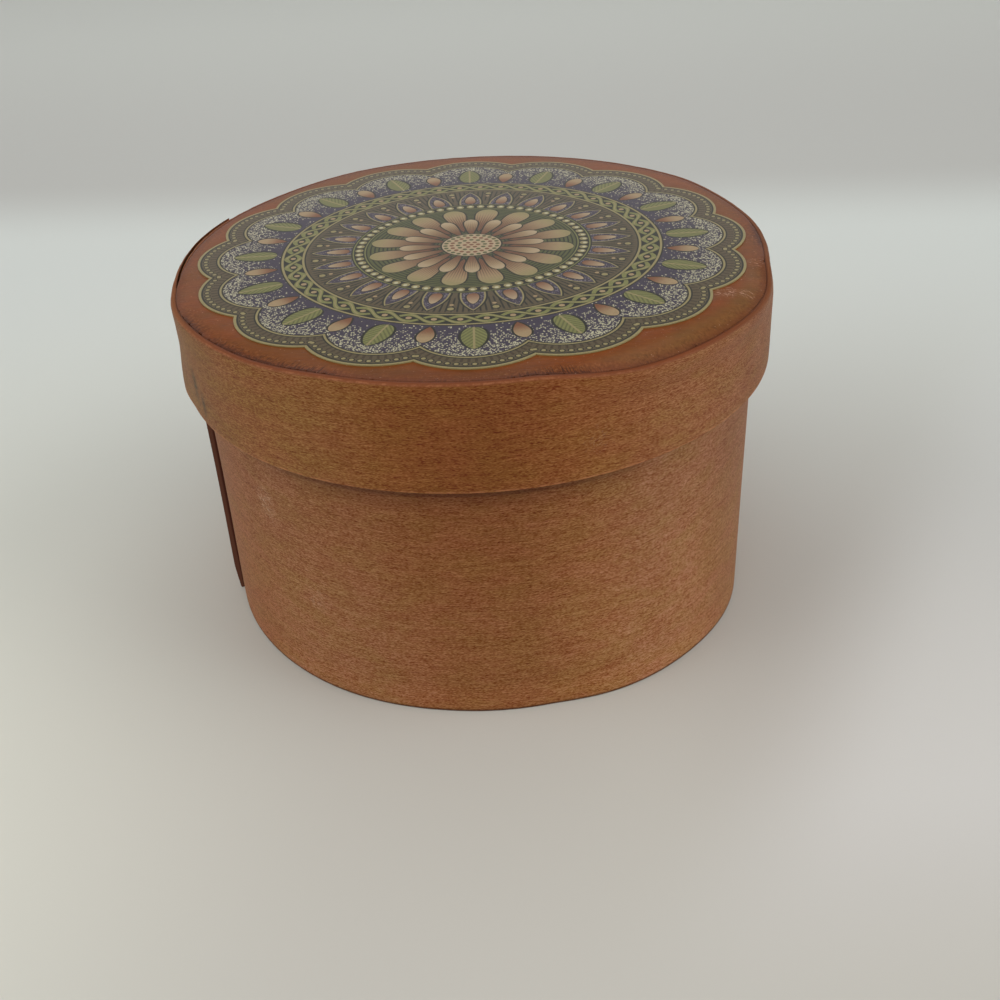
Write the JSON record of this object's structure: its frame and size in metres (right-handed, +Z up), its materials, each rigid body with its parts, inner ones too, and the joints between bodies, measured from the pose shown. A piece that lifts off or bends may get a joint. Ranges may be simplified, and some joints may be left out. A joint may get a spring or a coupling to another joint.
{
  "type": "round bentwood trinket box",
  "caption": "Round bentwood box with lapped veneer sides, an inset base and a deep lift-off lid that carries a scalloped paper rosette; keeps papers and trinkets.",
  "frame": {"origin": "middle of the underside, on the surface that the box stands on", "axes": "+Z up along the box's axis and the way the lid lifts off, -Y towards the viewer of the picture"},
  "size_m": [0.1203, 0.12, 0.0736],
  "materials": {
    "body_veneer": "stained satin",
    "base_wood": "stained satin",
    "lid_veneer": "stained satin",
    "lid_wood": "stained satin",
    "print_paper": "varnished print"
  },
  "bodies": {
    "box": {"body_band": "body_veneer", "base_disc": "base_wood"},
    "lid": {"lid_band": "lid_veneer", "lid_disc": "lid_wood", "lid_print": "print_paper"}
  },
  "joints": [
    {"name": "lid_lift", "type": "slide", "parent": "box", "child": "lid", "axis": [0, 0, 1], "range_m": [0, 0.06]}
  ]
}
